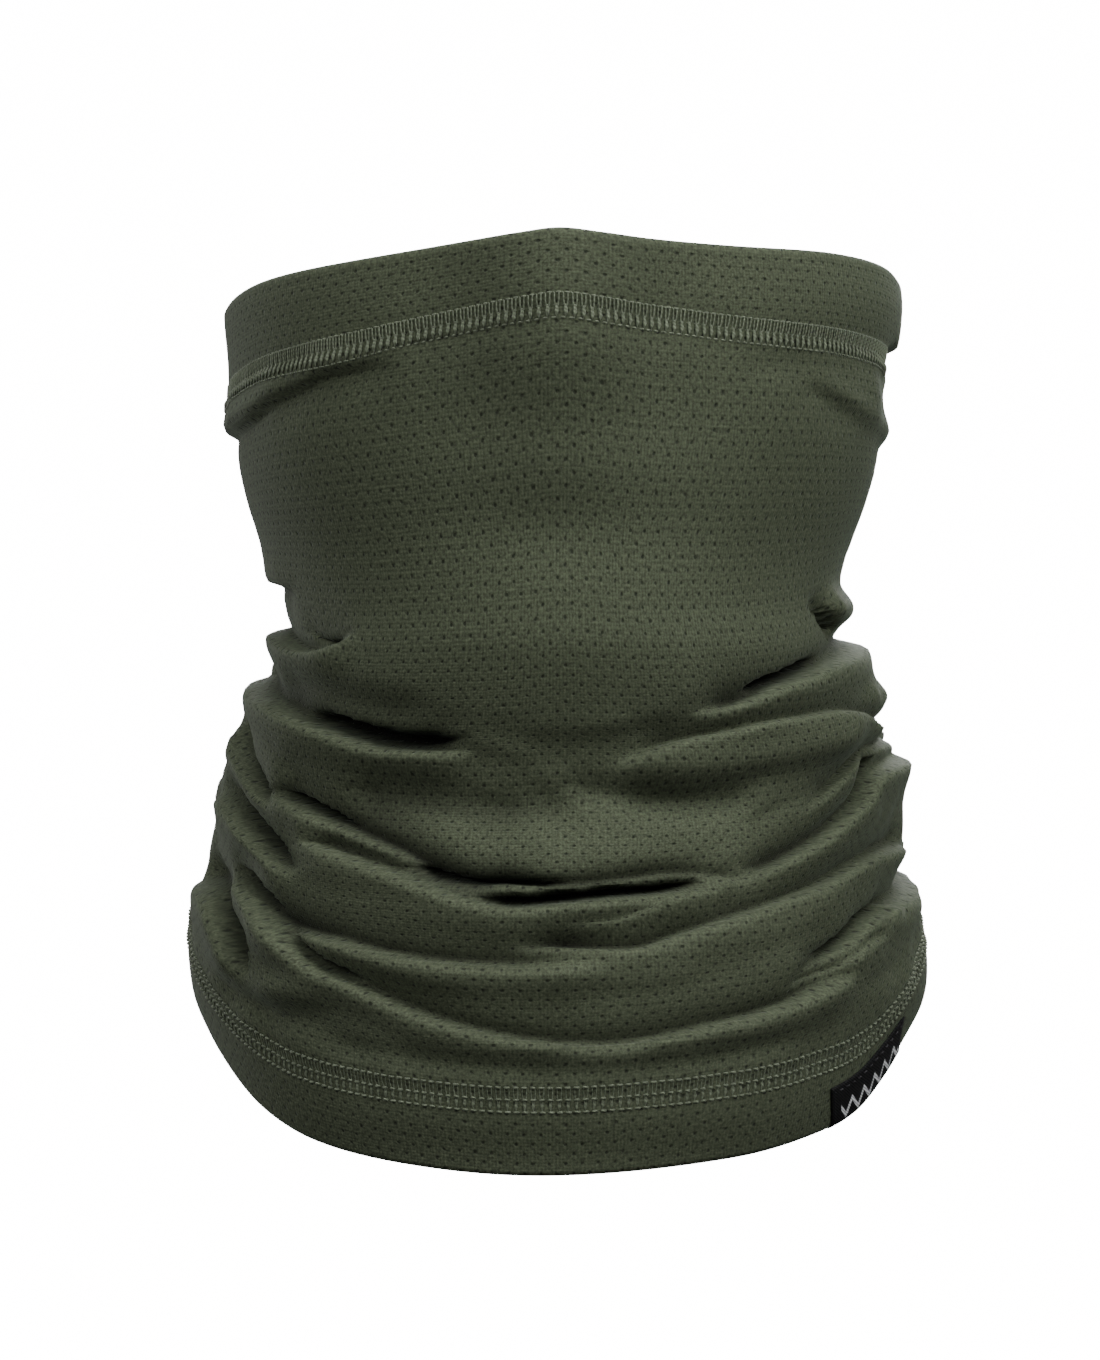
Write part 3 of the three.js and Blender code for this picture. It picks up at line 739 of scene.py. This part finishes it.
def sheet_mesh(name, spots, across, down, painted_crease_shade=None):
    """A sheet through rows and columns of spots, in millimetres. Its UV map is its flat cut."""
    made = bmesh.new()
    last_row, last_column = (count - 1 for count in spots.shape[:2])
    bmesh.ops.create_grid(made, x_segments=last_column, y_segments=last_row, size=1)
    cut = made.loops.layers.uv.new("cut")
    # Per point, how much painted shade the creases get
    shade_in_creases = None if painted_crease_shade is None else made.verts.layers.float.new("painted_crease_shade")
    where = {}
    for vert in made.verts:
        column = round((vert.co.x + 1) / 2 * last_column)
        row = round((vert.co.y + 1) / 2 * last_row)
        where[vert] = (column, row)
        vert.co = Vector(spots[row, column] * MM)
        if shade_in_creases:
            vert[shade_in_creases] = painted_crease_shade[row, column]
    for face in made.faces:
        for loop in face.loops:
            column, row = where[loop.vert]
            loop[cut].uv = (across[column] * MM, down[row] * MM)
    mesh = bpy.data.meshes.new(name)
    made.normal_update()
    made.to_mesh(mesh)
    made.free()
    return mesh


def give_wall(piece, thickness):
    """Makes a sheet a wall of this thickness, half on each side of it."""
    wall = piece.modifiers.new("wall", "SOLIDIFY")
    wall.thickness = thickness
    wall.offset = 0


def strand(name, points, width, swell=None, closed=True):
    """A mesh tube along a thread's own path, points and width in millimetres."""
    curve = bpy.data.curves.new(name + "_path", "CURVE")
    curve.dimensions = "3D"
    curve.bevel_depth = width / 2 * MM
    curve.bevel_resolution = 1
    curve.use_fill_caps = not closed
    spline = curve.splines.new("POLY")
    spline.points.add(len(points) - 1)
    flat = np.column_stack([points * MM, np.ones(len(points))])
    spline.points.foreach_set("co", flat.ravel())
    if swell is not None:
        spline.points.foreach_set("radius", swell)
    spline.use_cyclic_u = closed
    holder = bpy.data.objects.new(name + "_path", curve)
    mesh = bpy.data.meshes.new_from_object(holder)
    mesh.name = name
    bpy.data.objects.remove(holder)
    bpy.data.curves.remove(curve)
    return mesh


class GAITER_OT_cloth(bpy.types.Operator):
    """Make the sheet of mesh jersey, turned in at both ends and closed to a gathered tube"""

    bl_idname = "gaiter.cloth"
    bl_label = "Cloth"

    def execute(self, context):
        sizes, shades = context.scene.gaiter_sizes, context.scene.gaiter_shades
        stations, offsets = self.rows(sizes)
        azimuths, plies = self.columns(sizes)
        azimuth, station = np.meshgrid(azimuths, stations)
        offset = offsets[:, None] + plies[None, :]
        height = height_at(station, azimuth)
        spots = place(azimuth, height, offset)
        # The flat cut: each row and column keeps its mean length on the worn tube
        body = np.abs(plies) < 0.1
        round_ = np.linalg.norm(np.diff(spots, axis=1), axis=2)
        across = np.r_[0, np.cumsum(np.median(round_, axis=0))]
        along = np.linalg.norm(np.diff(spots[:, body], axis=0), axis=2)
        # Over the face the cloth is drawn an eighth longer than it lies flat
        drawn = 1 + 0.13 * smoothstep(112, 128, stations) * smoothstep(200, 186, stations)
        down = np.r_[0, np.cumsum(np.mean(along, axis=1) / drawn[1:])]
        out, _ = folds_at(azimuth, height)
        # Painted shade for the creases: none where the folds press in 1 mm, full where they press
        # in 9 mm
        painted_crease_shade = smoothstep(-1.0, -9.0, out)
        mesh = sheet_mesh("tube_cloth", spots, across, down, painted_crease_shade)
        cloth = finish_piece("tube_cloth", mesh, mesh_jersey(shades), "tube_panel")
        give_wall(cloth, sizes.cloth_thickness)
        return {"FINISHED"}

    @staticmethod
    def rows(sizes):
        """Stations from the inner edge of the lower hem, round the rims, to that of the top hem,
        and how far inside the cloth's middle each lies."""
        stitched = 2 * sizes.needle_spacing / MM + PLY_BEYOND
        lower = sizes.bottom_hem_depth / MM + stitched
        upper = TUBE_LENGTH - sizes.top_hem_depth / MM - stitched - DIP_SIDE
        turn = sizes.cloth_thickness / MM / 2 + PLY_GAP
        ply_rows = 10
        lower_ply = np.linspace(lower, 0.6, ply_rows)
        lower_rim = np.array([PLY_GAP, -turn * 0.9, -turn * 0.9, PLY_GAP])
        # Close together over the gathers, wider over the face and the hems
        outside = np.r_[np.arange(0.7, 28, 1.6), np.arange(28, 136, 0.92),
                        np.arange(136, 184, 1.9), np.arange(184, TUBE_LENGTH - 0.7, 1.65)]
        upper_rim = TUBE_LENGTH - lower_rim
        upper_ply = np.linspace(TUBE_LENGTH - 0.6, upper, ply_rows)
        stations = np.r_[lower_ply, lower_rim, outside, upper_rim, upper_ply]
        rim_offsets = np.array([-1.9, -1.35, -0.55, 0.0]) * turn
        inside = np.full(ply_rows, -2 * turn)
        offsets = np.r_[inside, rim_offsets, np.zeros(len(outside)), rim_offsets[::-1], inside]
        return stations, offsets

    @staticmethod
    def columns(sizes):
        """Azimuths from the seam's one raw edge round the tube to its other raw edge, closer
        together at the front, and how far inside each of the seam's plies lies."""
        fine = np.linspace(-180, 180, 2001)
        count = np.cumsum(1 + 0.5 * np.cos(np.radians(turned(fine + SEAM_AZIMUTH + 180))))
        count = (count - count[0]) / (count[-1] - count[0])
        round_ = np.interp(np.linspace(0, 1, sizes.columns), count, fine) + SEAM_AZIMUTH + 180
        round_[0] += 0.1
        round_[-1] -= 0.1
        back = math.degrees(SEAM_ALLOWANCE / SEAM_REACH)
        thick = sizes.cloth_thickness / MM + SEAM_PLY_GAP
        first = SEAM_AZIMUTH + np.array([-1.0, -0.55, -0.1]) * back
        last = SEAM_AZIMUTH + 360 + np.array([-0.1, -0.55, -1.0]) * back
        azimuths = np.r_[first, round_, last]
        plies = np.r_[[-2 * thick, -2 * thick, -1.4 * thick], np.zeros(len(round_)),
                      [-0.7 * thick, -thick, -thick]]
        return azimuths, plies


class GAITER_OT_hem_threads(bpy.types.Operator):
    """Make the coverstitch of both hems: three needle threads, cover thread and looper thread"""

    bl_idname = "gaiter.hem_threads"
    bl_label = "Hem threads"

    def execute(self, context):
        sizes, shades = context.scene.gaiter_sizes, context.scene.gaiter_shades
        thread = to_hex(shades.thread)
        needle = sewing_thread("core_spun_needle_thread", thread, 0.5, 0.55)
        cover = sewing_thread("bulked_cover_thread", thread, 0.7, 0.7)
        spacing = sizes.needle_spacing / MM
        width = sizes.thread_width / MM
        face = sizes.cloth_thickness / MM / 2
        for hem in ("top", "bottom"):
            if hem == "top":
                lowest = TUBE_LENGTH - sizes.top_hem_depth / MM - 2 * spacing
            else:
                lowest = sizes.bottom_hem_depth / MM
            count = self.stitch_count(lowest, sizes.stitch_length / MM)
            for line, level in (("lower", 0), ("middle", 1), ("upper", 2)):
                points, swell = self.needle_path(lowest + level * spacing, count, face, hem)
                name = f"{hem}_hem_{line}_needle_thread"
                bulk = 1 if hem == "top" else 1.25
                mesh = strand(f"{name}_stitches", points, bulk * width, swell)
                finish_piece(mesh.name, mesh, needle, name)
            points, swell = self.cover_path(lowest, spacing, count, face, hem)
            bulk = 1.15 if hem == "top" else 0.675
            mesh = strand(f"{hem}_hem_cover_thread_loops", points, bulk * width, swell)
            finish_piece(mesh.name, mesh, cover, f"{hem}_hem_cover_thread")
            points = self.looper_path(lowest, spacing, count, face)
            mesh = strand(f"{hem}_hem_looper_thread_loops", points, width)
            finish_piece(mesh.name, mesh, cover, f"{hem}_hem_looper_thread")
        return {"FINISHED"}

    @staticmethod
    def stitch_count(station, length):
        round_ = np.linspace(-180, 180, 400)
        spots = drape(round_, height_at(station, round_))
        girth = np.linalg.norm(np.diff(spots, axis=0), axis=1).sum()
        return round(girth / length)

    @staticmethod
    def laid(count, steps, stations, offsets):
        """Points of a path that repeats at every stitch, evenly spaced along the cloth."""
        round_ = np.linspace(-180, 180, 721)
        spots = drape(round_, height_at(np.median(stations), round_))
        length = np.r_[0, np.cumsum(np.linalg.norm(np.diff(spots, axis=0), axis=1))]
        at = (np.arange(count)[:, None] + np.array(steps)[None, :]) / count * length[-1]
        azimuth = np.interp(at.ravel() % length[-1], length, round_)
        station = np.tile(stations, count)
        dip = np.where(station > TUBE_LENGTH / 2, hem_dip(azimuth), 0)
        return place(azimuth, height_at(station, azimuth) - dip, np.tile(offsets, count))

    def needle_path(self, station, count, face, hem):
        """Stitches that lie on the cloth and dip through it at every needle hole."""
        steps = [0.0, 0.2, 0.34, 0.5, 0.66, 0.8]
        proud = face + (0.1 if hem == "top" else 0.32)
        offsets = [-0.5, face - 0.2, proud - 0.05, proud, proud - 0.05, face - 0.2]
        points = self.laid(count, steps, [station] * 6, offsets)
        return points, np.tile([0.6, 0.8, 1.1, 1.25, 1.1, 0.8], count)

    def cover_path(self, lowest, spacing, count, face, hem):
        """Two legs to a stitch: side by side in one bold bar between the lower lines, spread
        between the upper ones, and looped from stitch to stitch under the upper line."""
        # Away from the stitch's middle, needle line, height over the cloth, and bulk
        half = [(0.25, 1.95, 0.0, 0.7), (0.24, 1.5, 0.12, 0.75), (0.2, 1.12, 0.1, 0.75),
                (0.09, 0.95, -0.05, 0.8), (0.08, 0.5, 0.3, 1.45)]
        legs = [(-step, *rest) for step, *rest in half] + [(0.0, 0.05, -0.1, 1.1)]
        legs += half[::-1] + [(0.5, 2.05, -0.45, 0.6)]
        proud = face + (0.2 if hem == "top" else -0.02)
        steps = [0.5 + leg[0] for leg in legs]
        stations = [lowest + leg[1] * spacing for leg in legs]
        points = self.laid(count, steps, stations, [proud + leg[2] for leg in legs])
        return points, np.tile([leg[3] for leg in legs], count)

    def looper_path(self, lowest, spacing, count, face):
        """Zigzag over the three needle lines on the inside."""
        legs = [(0.0, 0.0), (0.2, 0.5), (0.35, 1.0), (0.5, 1.5), (0.62, 2.0), (0.8, 1.7),
                (0.86, 1.2), (0.9, 0.6)]
        inside = -(face * 4 + 2 * PLY_GAP) - 0.28  # past both plies
        steps = [step for step, _ in legs]
        stations = [lowest + level * spacing for _, level in legs]
        return self.laid(count, steps, stations, [inside] * len(legs))


class GAITER_OT_seam_threads(bpy.types.Operator):
    """Make the overlock threads of the closing seam, inside the tube"""

    bl_idname = "gaiter.seam_threads"
    bl_label = "Seam threads"

    def execute(self, context):
        sizes, shades = context.scene.gaiter_sizes, context.scene.gaiter_shades
        material = sewing_thread("overlock_thread", to_hex(shades.thread), 0.7, 0.75)
        degree = math.degrees(1 / SEAM_REACH)  # of azimuth to a millimetre
        pitch = sizes.stitch_length / MM
        end = 2.5  # from each rim to the seam's first and last stitch
        count = int((TUBE_LENGTH - 2 * end) / pitch)
        thick = sizes.cloth_thickness / MM
        stack = 2 * (thick + SEAM_PLY_GAP) + thick / 2
        # Legs of a stitch: place in the stitch, millimetres across the seam, depth past the plies
        threads = {
            "needle": [(0.0, -0.7, 0.1), (0.4, -0.7, 0.35), (0.8, -0.7, 0.35)],
            "upper_looper": [(0.0, -0.9, 0.4), (0.25, -2.8, 0.42), (0.45, -4.9, 0.3),
                             (0.6, -5.4, -0.2), (0.75, -4.6, 0.36), (0.9, -2.6, 0.4)],
            "lower_looper": [(0.05, -0.8, -2.0), (0.3, -2.9, -2.05), (0.5, -4.9, -2.0),
                             (0.6, -5.6, -1.0), (0.72, -4.8, -2.02), (0.9, -2.5, -2.05)],
        }
        for name, legs in threads.items():
            step, across, depth = (np.tile([leg[i] for leg in legs], count) for i in range(3))
            station = end + (np.repeat(np.arange(count), len(legs)) + step) * pitch
            azimuth = SEAM_AZIMUTH + across * degree
            offset = -(stack + depth)
            points = place(azimuth, height_at(station, azimuth), offset)
            width = 0.9 * sizes.thread_width / MM
            mesh = strand(f"closing_seam_{name}_thread_loops", points, width, closed=False)
            finish_piece(mesh.name, mesh, material, f"closing_seam_{name}_thread")
        return {"FINISHED"}


class GAITER_OT_label(bpy.types.Operator):
    """Make the woven label folded over the lower edge, and the stitches that hold it"""

    bl_idname = "gaiter.label"
    bl_label = "Label"

    def execute(self, context):
        sizes, shades = context.scene.gaiter_sizes, context.scene.gaiter_shades
        length, height = sizes.label_length / MM, sizes.label_height / MM
        face = sizes.cloth_thickness / MM / 2 + 0.45
        inner = -(sizes.cloth_thickness / MM * 1.5 + 2 * PLY_GAP + 0.4)
        columns, ply_rows = 36, 12
        along = np.linspace(0, length, columns)
        ply = np.linspace(height, 0.5, ply_rows)
        rim = np.array([-0.25, -0.7, -0.85, -0.7, -0.25])
        across = np.r_[ply, rim, ply[::-1]]
        bend = np.linspace(inner, face, 7)[1:-1]
        offset = np.r_[np.full(ply_rows, inner), bend, np.full(ply_rows, face)]
        s, t = np.meshgrid(along, across)
        spots = self.on_rim(s, t, np.broadcast_to(offset[:, None], s.shape))
        middle = spots[:, columns // 2]
        flat = np.r_[0, np.cumsum(np.linalg.norm(np.diff(middle, axis=0), axis=1))]
        mesh = sheet_mesh("label_folded", spots, along, flat - flat[-1] / 2)
        label = finish_piece("label_folded", mesh, woven_satin(shades), "woven_label",
                             blended=False)
        give_wall(label, 0.0004)

        # One row of stitches near the free edge, through both faces of the label
        steps = np.arange(1.2, length - 1.2, 0.42)
        wave = np.where(np.sin(steps * math.pi / 1.25) > 0, face + 0.32, inner - 0.32)
        points = self.on_rim(steps, np.full(steps.shape, height - 1.2), wave)
        mesh = strand("label_stitch_row", points, 0.75 * sizes.thread_width / MM, closed=False)
        finish_piece(mesh.name, mesh, sewing_thread("label_stitch_thread", "#26262a", 0.5, 0.6),
                     "label_stitches", blended=False)
        return {"FINISHED"}

    @staticmethod
    def on_rim(along, across, offset):
        """Places of points `along` the rim from the label's front end and `across` from it."""
        azimuth = np.linspace(LABEL_FROM, LABEL_ROOM, 200)
        rim = np.column_stack([arc(azimuth), lower_edge(azimuth)])
        length = np.r_[0, np.cumsum(np.hypot(*np.diff(rim, axis=0).T))]
        start = np.array([np.interp(along, length, rim[:, i]) for i in (0, 1)])
        # Square to the rim, turned a little more upright
        tilt = math.atan2(rim[100, 1] - rim[20, 1], rim[100, 0] - rim[20, 0])
        u = start[0] - across * math.sin(tilt) * 0.65
        z = start[1] + across * math.cos(tilt) * 1.2
        return place(np.degrees(u / GATHER_REACH), z, offset)


class GAITER_OT_stage(bpy.types.Operator):
    """Make the floor, the soft lights and the camera"""

    bl_idname = "gaiter.stage"
    bl_label = "Stage"

    def execute(self, context):
        # A round room, so that the paper stands behind the object from every side
        made = bmesh.new()
        floor = bmesh.ops.create_circle(made, cap_ends=True, segments=64, radius=4)["verts"]
        bmesh.ops.translate(made, verts=floor, vec=(0, 0, -0.3))
        corner = list(made.edges)
        risen = bmesh.ops.extrude_edge_only(made, edges=corner)["geom"]
        rim = [item for item in risen if isinstance(item, bmesh.types.BMVert)]
        bmesh.ops.translate(made, verts=rim, vec=(0, 0, 6))
        bmesh.ops.contextual_create(made, geom=rim)
        bmesh.ops.bevel(made, geom=corner, offset=0.8, segments=12, profile=0.5,
                        affect="EDGES", material=-1)
        mesh = bpy.data.meshes.new("floor_and_backdrop")
        made.to_mesh(mesh)
        made.free()
        mesh.polygons.foreach_set("use_smooth", [True] * len(mesh.polygons))
        mesh.materials.append(backdrop_paper())
        paper = bpy.data.objects.new("floor_and_backdrop", mesh)
        context.scene.collection.objects.link(paper)
        # It glows, and neither lights nor shades anything
        paper.visible_diffuse = paper.visible_glossy = paper.visible_shadow = False

        # Large soft lights: from above, from the front on the wearer's left, a faint fill, one
        # low behind that draws the edge on the wearer's right, and one for the back
        for name, at, to, size, power, spread in (
            ("overhead_softbox", (0.08, -0.3, 0.58), (0, -0.05, 0.0), 0.5, 2.8, 150),
            ("key_softbox", (0.52, -0.58, 0.48), (0.02, 0, 0.05), 0.5, 0.82, 46),
            ("fill_softbox", (-0.6, -0.8, 0.42), (0, 0, 0.04), 0.7, 1.9, 100),
            ("rim_softbox", (-0.62, 0.6, -0.02), (-0.05, 0, -0.09), 0.3, 0.2, 60),
            ("back_softbox", (0.15, 0.95, 0.4), (0, 0, 0), 0.6, 4.5, 110),
        ):
            lamp = bpy.data.lights.new(name, "AREA")
            lamp.size, lamp.energy, lamp.spread = size, power, math.radians(spread)
            light = bpy.data.objects.new(name, lamp)
            light.location = at
            light.rotation_euler = (Vector(to) - Vector(at)).to_track_quat("-Z", "Y").to_euler()
            context.scene.collection.objects.link(light)
        world = bpy.data.worlds.new("studio")
        world.use_nodes = True
        tree = world.node_tree
        sky = tree.nodes["Background"]
        sky.inputs["Color"].default_value = (1, 1, 1, 1)
        # Brighter above than below, as in a room with a dark floor
        way = add(tree, "TexCoord")
        axes = add(tree, "SeparateXYZ", {0: way.outputs["Generated"]})
        glow = add(tree, "MapRange", {"Value": axes.outputs["Z"], "From Min": -0.6,
                    "From Max": 0.9, "To Min": 0.02, "To Max": 0.46})
        tree.links.new(glow.outputs[0], sky.inputs["Strength"])
        context.scene.world = world

        camera = bpy.data.cameras.new("camera")
        camera.sensor_fit = "VERTICAL"
        camera.sensor_height = 36
        camera.sensor_width = 36
        camera.lens = 162.7
        camera.clip_end = 20
        holder = bpy.data.objects.new("camera", camera)
        holder.location = (-0.0022, -1.5, -0.022)
        holder.rotation_euler = (math.pi / 2, 0, 0)
        context.scene.collection.objects.link(holder)
        context.scene.camera = holder
        return {"FINISHED"}


class GAITER_PT_panel(bpy.types.Panel):
    """The gaiter's pieces, sizes and shades"""

    bl_label = "Neck Gaiter"
    bl_idname = "GAITER_PT_panel"
    bl_space_type = "VIEW_3D"
    bl_region_type = "UI"
    bl_category = "Neck Gaiter"

    def draw(self, context):
        layout = self.layout
        for group in (context.scene.gaiter_sizes, context.scene.gaiter_shades):
            for name in type(group).__annotations__:
                layout.prop(group, name)
        for operator in OPERATORS:
            layout.operator(operator.bl_idname)


OPERATORS = (
    GAITER_OT_cloth,
    GAITER_OT_hem_threads,
    GAITER_OT_seam_threads,
    GAITER_OT_label,
    GAITER_OT_stage,
)
CLASSES = (GaiterSizes, GaiterShades, *OPERATORS, GAITER_PT_panel)


def register():
    for item in CLASSES:
        bpy.utils.register_class(item)
    bpy.types.Scene.gaiter_sizes = PointerProperty(type=GaiterSizes)
    bpy.types.Scene.gaiter_shades = PointerProperty(type=GaiterShades)


def unregister():
    del bpy.types.Scene.gaiter_shades
    del bpy.types.Scene.gaiter_sizes
    for item in reversed(CLASSES):
        bpy.utils.unregister_class(item)


def main():
    register()
    bpy.ops.gaiter.cloth()
    bpy.ops.gaiter.hem_threads()
    bpy.ops.gaiter.seam_threads()
    bpy.ops.gaiter.label()
    bpy.ops.gaiter.stage()


if __name__ == "__main__":
    main()
